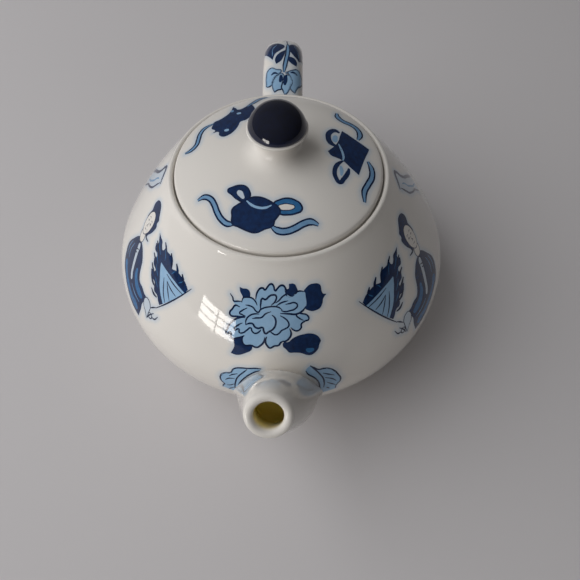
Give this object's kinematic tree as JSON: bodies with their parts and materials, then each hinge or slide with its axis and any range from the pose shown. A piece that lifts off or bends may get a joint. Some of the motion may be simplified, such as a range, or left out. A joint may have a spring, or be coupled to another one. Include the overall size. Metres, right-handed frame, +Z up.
{
  "type": "teapot",
  "caption": "Round low-bellied porcelain teapot with a lift-off domed lid, round knob, short curved spout and loop handle, painted with blue flowers and figures.",
  "frame": {"origin": "centre of the circle that the foot ring stands on, on the pot's axis, at table level", "axes": "+Z up along the pot's axis, +X towards the spout, -X towards the handle"},
  "size_m": [0.1865, 0.1286, 0.107],
  "materials": {
    "glazed_porcelain": "clear gloss glaze over white porcelain, painted in cobalt blue under the glaze",
    "bare_porcelain": "unglazed, fine matte bisque where the piece stands or seats",
    "cobalt_glaze": "deep cobalt blue gloss glaze"
  },
  "bodies": {
    "pot": {"pot_body": "glazed_porcelain", "foot_ring": "bare_porcelain", "strainer": "glazed_porcelain", "spout": "glazed_porcelain", "handle": "glazed_porcelain"},
    "lid": {"lid_dome": "glazed_porcelain", "lid_flange": "bare_porcelain", "knob_stem": "glazed_porcelain", "knob_cap": "cobalt_glaze"}
  },
  "joints": [
    {"name": "lid_lift", "type": "slide", "parent": "pot", "child": "lid", "axis": [0, 0, 1], "range_m": [0, 0.06]}
  ]
}
